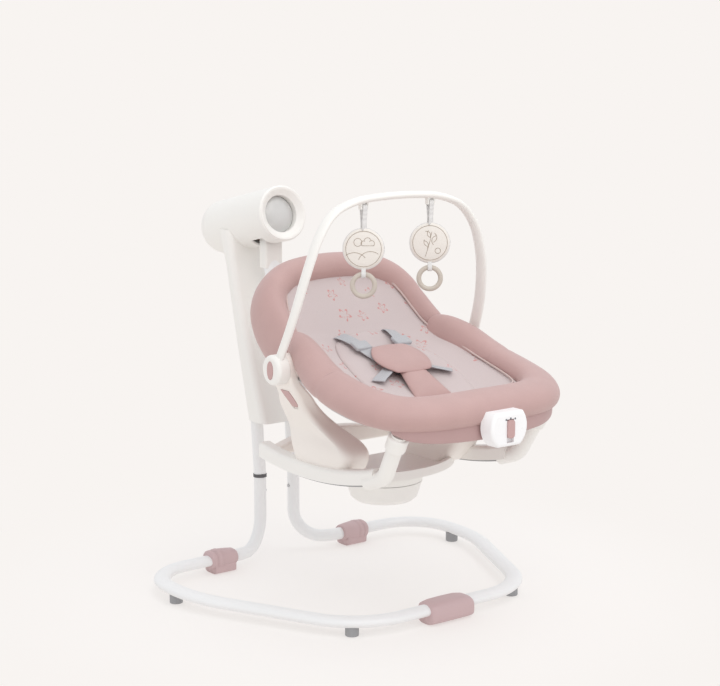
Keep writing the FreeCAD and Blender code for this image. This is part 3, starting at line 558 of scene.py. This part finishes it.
def thickened(obj, thickness, under=None):
    """Gives a panel its wadding, rounds it, and makes that its mesh."""
    wall = obj.modifiers.new("wadding", "SOLIDIFY")
    wall.thickness, wall.offset = thickness, -1.0
    if under:
        obj.data.materials.append(under.material)
        wall.material_offset = 1
    rounding = obj.modifiers.new("rounding", "SUBSURF")
    rounding.levels = rounding.render_levels = 1
    evaluated = obj.evaluated_get(bpy.context.evaluated_depsgraph_get())
    mesh = bpy.data.meshes.new_from_object(evaluated)
    obj.modifiers.clear()
    obj.data = mesh
    return obj


bm = panel(36, 56, lambda a, b: liner_point((1 - b) / 2, a), (0.36, LINER_LENGTH))
for face in bm.faces:
    face.normal_flip()
liner = piece("seat_liner_cloth", bm, knit, replaces=["seat_liner", "back_liner"])
if liner.data.polygons[len(liner.data.polygons) // 2].normal.z < 0:
    liner.data.flip_normals()
# The wadding's underside takes the darker copy of the leather, painted shade under the liner.
thickened(liner, 0.007, pink_leather_shaded)
at(0, -215, 425)
at(0, -120, 490)
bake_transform(liner)

# %% [markdown]
# ## The newborn insert and the piping
# A softer pad lies on the liner from the shoulders to the thighs. It is the
# same surface lifted by its own thickness, with a rounded outline, thin at the
# edge and crowned in the middle. Piping is a cord sewn into the liner's edge.


# %% Insert and piping
def insert_shape(a, b):
    """Rounds a square grid into the insert's outline and crowns it."""
    wide = a * math.sqrt(1 - 0.42 * b * b)
    tall = b * math.sqrt(1 - 0.36 * a * a)
    edge = max(abs(a), abs(b))
    crown = 0.010 * (1 - edge ** 6) + 0.0015
    return liner_point(0.57 - 0.27 * tall, 0.66 * wide, crown)


bm = panel(26, 30, insert_shape, (0.21, 0.30))
insert = piece("newborn_insert", bm, knit)
if insert.data.polygons[len(insert.data.polygons) // 2].normal.z < 0:
    insert.data.flip_normals()
thickened(insert, 0.004)
at(0, -215, 425)
at(0, -120, 490)
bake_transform(insert)

for sign, side in ((1, "right"), (-1, "left")):
    rows = []
    for k in range(31):
        point = liner_point(0.06 + 0.88 * k / 30, sign * 0.955, 0.004)
        rows.append((point.x * 1000, (point.y - PLAN_SHIFT) * 1000, point.z * 1000, 1.9, 1.9))
    bm = bmesh.new()
    skin(bm, stations(rows, UP), segments=8)
    cord_edge = piece("liner_piping_" + side, bm, piping_finish)
    at(0, -215, 425)
    at(0, -120, 490)
    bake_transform(cord_edge)

# %% [markdown]
# ## The valance
# Below the rim a flat band of the same leather hides the frame from leg to
# leg, with a piped seam along its top. Band and piping take a darker copy of
# the leather, painted shade under the rim.

# %% Valance
VALANCE = [(176, -438, 378, 4, 8), (152, -462, 372, 4, 14), (100, -482, 368, 4, 16), (0, -492, 366, 4, 16)]
valance_rows = through(both_sides(VALANCE), 8)
bm = bmesh.new()
skin(bm, stations(valance_rows, UP), segments=16, squareness=0.7, dome=0.003)
valance = piece("foot_valance", bm, pink_leather_shaded, "rocker", smooth=1)
bm = bmesh.new()
seam_rows = [row[:2] + (row[2] + 15, 1.6, 1.6) for row in valance_rows]
skin(bm, stations([(r[0] * 1.012, r[1] * 1.006, r[2], r[3], r[4]) for r in seam_rows], UP), segments=8)
piece("valance_piping", bm, pink_leather_shaded, "rocker")

# %% [markdown]
# ## The harness
# Flat webbing runs from two slots in the backrest, through a slide adjuster,
# to the buckle, and from each side of the seat. Over the buckle lies a soft
# leather cover, and a padded tongue comes up between the legs.

# %% Straps
SHOULDER = [(57, -122, 474, 12.5, 1.1), (56, -136, 480, 12.5, 1.1), (50, -165, 474, 12.5, 1.1),
            (44, -195, 462, 12.5, 1.1), (34, -222, 450, 12.5, 1.1)]
WAIST = [(84, -282, 424, 12, 1.1), (72, -273, 427, 12, 1.1), (56, -264, 431, 12, 1.1), (38, -254, 437, 12, 1.1)]
for sign, side in ((1, "right"), (-1, "left")):
    bm = bmesh.new()
    rows = [(sign * r[0],) + r[1:] for r in through(SHOULDER, 6)]
    skin(bm, stations(rows, BACK_FACE), segments=12, squareness=0.5)
    strap = piece("shoulder_strap_" + side, bm, webbing, replaces=["shoulder_straps"])
    at(0, -215, 425)
    at(0, -120, 490)
    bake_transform(strap)
    bm = bmesh.new()
    rows = [(sign * r[0],) + r[1:] for r in through(WAIST, 6)]
    skin(bm, stations(rows, UP), segments=12, squareness=0.5)
    piece("waist_strap_" + side, bm, webbing, "rocker", ["waist_straps"])
    bm = bmesh.new()
    made = bmesh.ops.create_cube(bm, size=1.0)["verts"]
    frame_turn = Matrix.Translation(at(sign * 46, -184, 468.5)) @ Matrix.Rotation(math.radians(24), 4, "X")
    bmesh.ops.scale(bm, vec=(0.034, 0.024, 0.007), verts=made)
    bmesh.ops.bevel(bm, geom=bm.edges[:], offset=0.0024, offset_type="OFFSET", affect="EDGES", segments=3,
                    profile=0.5, material=-1)
    bmesh.ops.transform(bm, matrix=frame_turn, verts=bm.verts)
    slide = piece("strap_adjuster_" + side, bm, webbing, "backrest")

# %% [markdown]
# The cover and the tongue are cushions: a grid whose middle is crowned and
# whose edge is thin, closed underneath.


# %% Buckle cover and crotch tongue
def cushion(name, centre, down, outline, crown, body, replaced, finish, thickness=0.004):
    """A small flat cushion: outline(a, b) gives half widths in millimetres."""
    across = Vector((1, 0, 0))
    facing = across.cross(down).normalized()
    if facing.z < 0:
        facing = -facing

    def shape(a, b):
        x, s = outline(a, b)
        lift = crown * (1 - max(abs(a), abs(b)) ** 4)
        return centre + across * x / 1000 + down * s / 1000 + facing * lift / 1000
    bm = panel(16, 16, shape, (0.09, 0.09))
    obj = piece(name, bm, finish, replaces=replaced)
    if obj.data.polygons[len(obj.data.polygons) // 2].normal.z < 0:
        obj.data.flip_normals()
    thickened(obj, thickness)
    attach(obj, body)
    return obj


def cover_outline(a, b):
    s = 48 * b * (1 - 0.10 * a * a)
    half = 57 - 18 * max(b, 0) ** 2 - 21 * max(-b, 0) ** 2
    return a * half, s


def tongue_outline(a, b):
    return a * (34 + 8 * b), 44 * b


SLOPE = Vector((0, -0.93, -0.37)).normalized()
cover = cushion("buckle_cover_pad", at(0, -240, 450), SLOPE, cover_outline, 7.0, "rocker", ["buckle_cover"],
                pink_leather)
tongue = cushion("crotch_tongue", at(0, -298, 416), Vector((0, -0.86, -0.51)).normalized(), tongue_outline, 7.0,
                 "rocker", ["crotch_strap"], pink_leather, 0.006)

# %% [markdown]
# ## The hanging toys
# Each toy is a plush disc sewn from two rounds, with a line drawing in thread,
# on a ribbon that loops over the bar's pin. The drawings are plain ones: hills
# with a sun and a cloud, and a sprig with leaves.

# %% Toys
TOY_X, TOY_Y, DISC_Z, DISC_R, PIN_Z, RING_TOP = 75, -228, 649, 36, 722, 604.5
DISC_HALF, DISC_POWER = 6.5, 2.6
RING_Z, RING_MIDDLE, RING_TUBE = 585, 0.0195, 0.0044


def arc(cx, cz, radius, start, end, steps=14):
    """Points of a stitched arc, in millimetres on the disc."""
    turns = [math.radians(start + (end - start) * k / steps) for k in range(steps + 1)]
    return [(cx + radius * math.cos(t), cz + radius * math.sin(t)) for t in turns]


HILLS = [arc(-12, -26, 22, 20, 128), arc(16, -30, 24, 52, 142), arc(10, 12, 7, 0, 360),
         arc(-14, 10, 5, 40, 230), arc(-7, 14, 6, 10, 165), arc(0, 10, 4.5, -60, 120), [(-18, 6), (2, 6)],
         arc(0, 0, 31, 0, 360, 40)]
SPRIG = [[(-8, -24), (-4, -10), (0, 4), (3, 20)], arc(-11, -4, 8, -40, 95), arc(-3, 2, 8, 150, 275),
         arc(12, 4, 9, 95, 230), arc(3, 10, 9, -70, 60), arc(-6, 14, 7, -30, 110), arc(2, 17, 7, 130, 260),
         arc(14, -14, 5, 0, 360), arc(0, 0, 31, 0, 360, 40)]


def disc_face(x, z):
    """How far the plush stands out at a place on the disc."""
    share = min(math.hypot(x, z) / DISC_R, 0.98)
    return DISC_HALF * (1 - share ** DISC_POWER) ** (1 / DISC_POWER)


TOY_TURN = math.radians(-37.6)


def turned(bm, middle):
    """Twists a hanging piece about its ribbon, as the ribbon lets it."""
    axis = at(middle, TOY_Y, DISC_Z)
    bmesh.ops.rotate(bm, cent=axis, matrix=Matrix.Rotation(TOY_TURN, 3, "Z"), verts=bm.verts)


for sign, side, drawing in ((1, "right", SPRIG), (-1, "left", HILLS)):
    body, middle = "toy_" + side, sign * TOY_X
    bm = bmesh.new()
    places = []
    for k in range(-8, 9):
        off = DISC_HALF * math.sin(math.pi / 2 * k / 8) * 0.995
        radius = DISC_R * (1 - (abs(off) / DISC_HALF) ** DISC_POWER) ** (1 / DISC_POWER) / 1000
        places.append((at(middle, TOY_Y + off, DISC_Z), Vector((radius, 0, 0)), Vector((0, 0, radius))))
    skin(bm, places, segments=40)
    turned(bm, middle)
    disc = piece("toy_disc_plush_" + side, bm, plush, body, ["toy_disc_" + side], smooth=1)
    bm = bmesh.new()
    edge = [(middle + x, TOY_Y, DISC_Z + z, 1.0, 1.0) for x, z in arc(0, 0, DISC_R, 0, 358, 60)]
    skin(bm, stations(edge, (0, 1, 0)), segments=8)
    turned(bm, middle)
    piece("toy_disc_seam_" + side, bm, ribbon, body)
    bm = bmesh.new()
    for line in drawing:
        for front in (-1, 1):
            rows = [(middle + x * -front * sign, TOY_Y + front * disc_face(x, z), DISC_Z + z, 0.5, 0.4) for x, z in line]
            skin(bm, stations(rows, (0, 1, 0)), segments=6)
    turned(bm, middle)
    piece("toy_embroidery_" + side, bm, thread, body)
    bm = bmesh.new()
    top = DISC_Z + DISC_R
    loop = [(middle, TOY_Y + 2.2, top - 4, 5, 0.5), (middle, TOY_Y + 2.6, top + 12, 5, 0.5),
            (middle, TOY_Y + 4.6, PIN_Z - 4, 5, 0.5), (middle, TOY_Y + 4.4, PIN_Z + 2, 5, 0.5),
            (middle, TOY_Y, PIN_Z + 4.9, 5, 0.5), (middle, TOY_Y - 4.4, PIN_Z + 2, 5, 0.5),
            (middle, TOY_Y - 4.6, PIN_Z - 4, 5, 0.5), (middle, TOY_Y - 2.6, top + 12, 5, 0.5),
            (middle, TOY_Y - 2.2, top - 4, 5, 0.5)]
    wide = []
    for centre, along, high in stations(through(loop, 4), (0, 1, 0.01)):
        wide.append(centre)
    flat = []
    for i, centre in enumerate(wide):
        tangent = (wide[min(i + 1, len(wide) - 1)] - wide[max(i - 1, 0)]).normalized()
        flat.append((centre, Vector((0.005, 0, 0)), tangent.cross(Vector((1, 0, 0))) * 0.0005))
    skin(bm, flat, segments=10, squareness=0.5)
    piece("toy_ribbon_" + side, bm, ribbon, body, ["toy_strap_" + side])
    bm = bmesh.new()
    hold = [(middle, TOY_Y - 1.6, DISC_Z - DISC_R + 3), (middle, TOY_Y - 6.2, RING_TOP + 3),
            (middle, TOY_Y - 5.6, RING_TOP - 4), (middle, TOY_Y, RING_TOP - 6.4),
            (middle, TOY_Y + 5.6, RING_TOP - 4), (middle, TOY_Y + 6.2, RING_TOP + 3),
            (middle, TOY_Y + 1.6, DISC_Z - DISC_R + 3)]
    line = [at(*p) for p in through(hold, 5)]
    flat = []
    for i, centre in enumerate(line):
        tangent = (line[min(i + 1, len(line) - 1)] - line[max(i - 1, 0)]).normalized()
        flat.append((centre, Vector((0.004, 0, 0)), tangent.cross(Vector((1, 0, 0))) * 0.0005))
    skin(bm, flat, segments=10, squareness=0.5)
    turned(bm, middle)
    piece("ring_loop_" + side, bm, ribbon, body)
    bm = bmesh.new()
    section = bmesh.ops.create_circle(bm, segments=16, radius=RING_TUBE)["verts"]
    bmesh.ops.translate(bm, vec=(RING_MIDDLE, 0, 0), verts=section)
    bmesh.ops.spin(bm, geom=section + bm.edges[:], cent=(0, 0, 0), axis=(0, 1, 0), angle=math.tau, steps=56,
                   use_merge=True)
    bmesh.ops.translate(bm, vec=at(middle, TOY_Y, RING_Z), verts=bm.verts)
    turned(bm, middle)
    piece("toy_ring_grip_" + side, bm, toy_ring_finish, "ring_" + side, ["toy_ring_" + side])

# %% [markdown]
# ## Marks on the control unit
# Three plain dots show the switch's settings.

# %% Setting marks
unit_low, unit_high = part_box("control_unit")
for k in (-1, 0, 1):
    bm = bmesh.new()
    spot = Vector((k * 0.010, unit_low.y - 0.0002, unit_high.z - 0.010 - abs(k) * 0.0015))
    skin(bm, [(spot + Vector((0, d, 0)), Vector((0.0016, 0, 0)), Vector((0, 0, 0.0016))) for d in (-0.0004, 0.002)],
         segments=16)
    piece("setting_mark_%d" % (k + 2), bm, mark_grey, "rocker")

# %% [markdown]
# ## The foot clips
# Each rear clip is a tapered sleeve with two moulded bands at its wide end, on
# a flat foot; the front clip is a smooth saddle over the tube. Rings of growing
# size along the tube give the taper, and a step between two rings is a band.

# %% Foot clips
REAR_PROFILE = [(0, 18, 15), (3, 20.5, 17.5), (10, 21, 18), (12, 19.5, 16.5), (14, 21.5, 18.5), (22, 22, 19),
                (24, 20.5, 17.5), (27, 21.5, 18), (44, 20, 16.5), (55, 18.5, 15), (58, 17, 13)]
rear_low, rear_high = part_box("rear_clips")
clip_middle = (rear_low.y + rear_high.y) / 2
bm = bmesh.new()
for sign in (1, -1):
    places = [(Vector((sign * (rear_high.x - along / 1000), clip_middle, 0.026)), Vector((0, wide / 1000, 0)),
               Vector((0, 0, tall / 1000))) for along, wide, tall in REAR_PROFILE]
    skin(bm, places, segments=28, squareness=0.85)
    sole = [(Vector((sign * (rear_high.x - along), clip_middle, 0.011)), Vector((0, 0.019, 0)),
             Vector((0, 0, 0.0108))) for along in (0.006, 0.008, 0.050, 0.052)]
    skin(bm, sole, segments=24, squareness=0.45)
piece("rear_foot_clips", bm, clip_pink, "frame", ["rear_clips"])

front_low, front_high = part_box("front_clip")
front_middle = (front_low.y + front_high.y) / 2
half = front_high.x
FRONT_PROFILE = [(-1.0, 0.70), (-0.985, 0.84), (-0.9, 0.93), (-0.6, 0.99), (0, 1.0), (0.6, 0.99), (0.9, 0.93),
                 (0.985, 0.84), (1.0, 0.70)]
bm = bmesh.new()
depth = (front_high.y - front_low.y) / 2
height = (front_high.z - front_low.z) / 2
places = [(Vector((along * half, front_middle, front_low.z + height * scale)), Vector((0, depth * scale, 0)),
           Vector((0, 0, height * scale))) for along, scale in FRONT_PROFILE]
skin(bm, places, segments=32, squareness=0.6)
piece("front_foot_clip", bm, clip_pink, "frame", ["front_clip"])

# %% [markdown]
# ## Stage, light and camera
# The floor takes the shadow close to the swing and fades to the backdrop's own
# colour further out, so no horizon shows. An even sky with one soft lamp keeps
# each colour about as it was written.

# %% Stage
BACKDROP = linear(248, 244, 241)
bm = bmesh.new()
bmesh.ops.create_circle(bm, cap_ends=True, segments=64, radius=30.0)
floor_mesh = bpy.data.meshes.new("floor")
bm.to_mesh(floor_mesh)
bm.free()
floor = bpy.data.objects.new("floor", floor_mesh)
bpy.context.scene.collection.objects.link(floor)
floor.location.z = -0.0005
ground = Finish("floor", (250, 247, 245), 0.9)
floor_mesh.materials.append(ground.material)
spread = ground.node("ShaderNodeVectorMath", {"operation": "LENGTH"}, {0: ground.place()}, output=1)
fade = ground.node("ShaderNodeMapRange", {"interpolation_type": "SMOOTHSTEP"},
                   {0: spread, 1: 0.25, 2: 0.8, 3: 0.55, 4: 1.0})
glow = ground.node("ShaderNodeEmission", sockets={"Color": BACKDROP, "Strength": 1.0})
lit = Field(ground, ground.shader.outputs[0])
mixed = ground.node("ShaderNodeMixShader", sockets={0: fade, 1: lit, 2: glow})
surface = next(n for n in ground.tree.nodes if n.type == "OUTPUT_MATERIAL")
ground.tree.links.new(mixed.socket, surface.inputs["Surface"])

world = bpy.data.worlds.new("studio")
bpy.context.scene.world = world
world.use_nodes = True
sky = world.node_tree
sky.nodes.clear()
path = sky.nodes.new("ShaderNodeLightPath")
seen = sky.nodes.new("ShaderNodeMath")
seen.operation = "MAXIMUM"
sky.links.new(path.outputs["Is Camera Ray"], seen.inputs[0])
sky.links.new(path.outputs["Is Transmission Ray"], seen.inputs[1])
light_ground, camera_ground = sky.nodes.new("ShaderNodeBackground"), sky.nodes.new("ShaderNodeBackground")
light_ground.inputs["Color"].default_value = (0.97, 0.98, 1.0, 1.0)
light_ground.inputs["Strength"].default_value = 0.88
camera_ground.inputs["Color"].default_value = BACKDROP
mix = sky.nodes.new("ShaderNodeMixShader")
sky.links.new(seen.outputs[0], mix.inputs[0])
sky.links.new(light_ground.outputs[0], mix.inputs[1])
sky.links.new(camera_ground.outputs[0], mix.inputs[2])
out = sky.nodes.new("ShaderNodeOutputWorld")
sky.links.new(mix.outputs[0], out.inputs["Surface"])


def lamp(name, place, aim, size, watts, colour=(1, 0.985, 0.96)):
    """A soft square lamp that points at a place."""
    light = bpy.data.lights.new(name, "AREA")
    light.size, light.energy, light.color = size, watts, colour
    obj = bpy.data.objects.new(name, light)
    bpy.context.scene.collection.objects.link(obj)
    obj.location = place
    obj.rotation_euler = (aim - place).to_track_quat("-Z", "Y").to_euler()


middle_of_seat = at(0, -200, 400)
lamp("key", at(-600, -1900, 2600), middle_of_seat, 2.2, 22.0)
lamp("top", at(900, -100, 2600), middle_of_seat, 1.8, 8.0)

# %% Camera
camera_data = bpy.data.cameras.new("camera")
camera_data.lens, camera_data.sensor_width = 90.0, 36.0
camera = bpy.data.objects.new("camera", camera_data)
bpy.context.scene.collection.objects.link(camera)
camera.location = at(-1977.3, -2689.0, 1029.7)
camera.rotation_euler = (at(-14.3, -139.0, 463.8) - camera.location).to_track_quat("-Z", "Y").to_euler()
bpy.context.scene.camera = camera
bpy.context.scene.view_settings.view_transform = "Standard"
